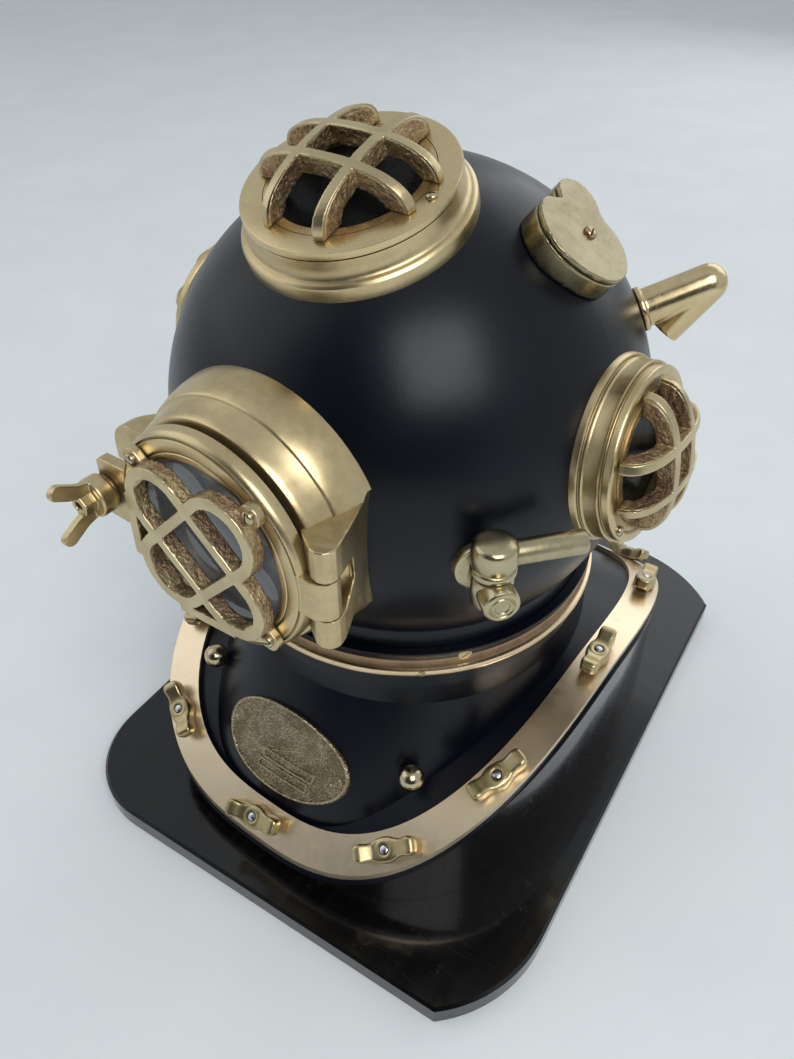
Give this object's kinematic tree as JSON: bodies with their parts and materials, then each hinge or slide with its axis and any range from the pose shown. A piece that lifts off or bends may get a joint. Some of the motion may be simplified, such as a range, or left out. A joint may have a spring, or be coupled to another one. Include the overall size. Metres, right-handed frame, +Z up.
{
  "type": "diving helmet",
  "caption": "Spherical brass diving helmet on a wooden stand, with hinged face plate, barred windows, saddle breastplate, strap with wing nuts, elbows, tap and exhaust valve.",
  "frame": {"origin": "centre of the stand's underside", "axes": "+Z up, -Y is the way the face plate looks, +X is the diver's left"},
  "size_m": [0.3836, 0.4889, 0.4655],
  "materials": {
    "stand_lacquer": "gloss black lacquer",
    "dark_enamel": "satin black enamel on copper",
    "strap_brass": "polished warm brass",
    "cast_brass": "antique cast brass",
    "guard_brass": "antique cast brass with polished edges",
    "plate_brass": "aged stippled brass",
    "stud_steel": "bright steel",
    "port_glass": "clear plate glass",
    "gasket_rubber": "matt black rubber",
    "gasket_leather": "oiled dark leather"
  },
  "bodies": {
    "stand": {"base_plate": "stand_lacquer", "riser": "stand_lacquer", "breastplate": "dark_enamel", "strap": "strap_brass", "strap_studs": "stud_steel", "strap_wing_nuts": "cast_brass", "ball_studs": "cast_brass", "oval_plate": "plate_brass", "collar_ring": "strap_brass"},
    "neck_turn": {"neck_gasket": "gasket_leather"},
    "helmet": {"neck_ring": "strap_brass", "bonnet": "dark_enamel", "front_port": "cast_brass", "hinge_block": "cast_brass", "hinge_pin": "cast_brass", "clamp_lug": "cast_brass", "top_window": "cast_brass", "top_glass": "port_glass", "top_retainer": "cast_brass", "top_guard": "guard_brass", "left_window": "cast_brass", "left_glass": "port_glass", "left_retainer": "cast_brass", "left_guard": "guard_brass", "right_window": "cast_brass", "right_glass": "port_glass", "right_retainer": "cast_brass", "right_guard": "guard_brass", "cup_body": "cast_brass", "cup_lid": "cast_brass", "cup_screw": "cast_brass", "left_elbow": "strap_brass", "right_elbow": "strap_brass", "tap_body": "cast_brass", "tap_nut": "cast_brass", "valve_body": "cast_brass"},
    "door": {"door_ring": "cast_brass", "door_glass": "port_glass", "door_retainer": "cast_brass", "door_gasket": "gasket_rubber", "door_guard": "guard_brass", "door_guard_screws": "cast_brass"},
    "washer": {"screw_washer": "cast_brass"},
    "screw": {"wing_screw": "cast_brass"},
    "tap": {"tap_lever": "cast_brass"},
    "valve": {"valve_wheel": "cast_brass"}
  },
  "joints": [
    {"name": "bonnet_turn", "type": "hinge", "parent": "stand", "child": "neck_turn", "pos_m": [0, -0.033, 0.178], "axis": [0, 0, 1], "range_deg": [0, 45]},
    {"name": "bonnet_lift", "type": "slide", "parent": "neck_turn", "child": "helmet", "axis": [0, 0, 1], "range_m": [0, 0.06]},
    {"name": "face_plate_hinge", "type": "hinge", "parent": "helmet", "child": "door", "pos_m": [0.07, -0.196, 0.293], "axis": [0, 0, 1], "range_deg": [0, 110]},
    {"name": "screw_advance", "type": "slide", "parent": "door", "child": "washer", "axis": [0, -1, 0], "range_m": [0, 0.0075]},
    {"name": "screw_turn", "type": "hinge", "parent": "washer", "child": "screw", "pos_m": [-0.078, -0.205, 0.293], "axis": [0, -1, 0], "range_deg": [0, 1080]},
    {"name": "tap_turn", "type": "hinge", "parent": "helmet", "child": "tap", "pos_m": [0.12486, -0.13777, 0.293], "axis": [0, 0, 1], "range_deg": [-90, 0]},
    {"name": "valve_turn", "type": "hinge", "parent": "helmet", "child": "valve", "pos_m": [-0.13716, 0.05952, 0.26383], "axis": [-0.8164, 0.5507, -0.1737], "range_deg": [0, 360]}
  ],
  "couplings": [
    {"joint": "screw_advance", "follows": "screw_turn", "m_per_rad": 0.00039789}
  ]
}
